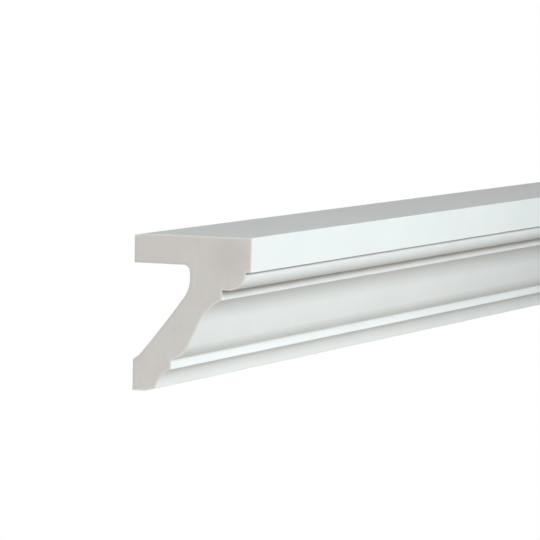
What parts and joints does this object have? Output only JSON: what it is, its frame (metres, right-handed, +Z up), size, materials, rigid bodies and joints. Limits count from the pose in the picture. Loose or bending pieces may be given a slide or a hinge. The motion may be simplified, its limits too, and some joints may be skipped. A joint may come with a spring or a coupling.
{
  "type": "crown moulding",
  "caption": "Crown moulding length: plain fascia, quirk, ovolo, fillets, ogee and cove run straight, cut square, with an open channel along the back.",
  "frame": {"origin": "middle of the length on the wall plane, on the flat wall band, 10 mm above the foot", "axes": "+X along the length; +Y into the wall, so the moulded face looks to -Y; +Z up to the ceiling"},
  "size_m": [1, 0.08, 0.1],
  "materials": {
    "primed_foam": "satin white primer over hard polyurethane foam, bare beige-grey foam at the cut ends"
  },
  "bodies": {
    "root": {"crown_moulding": "primed_foam"}
  },
  "joints": []
}
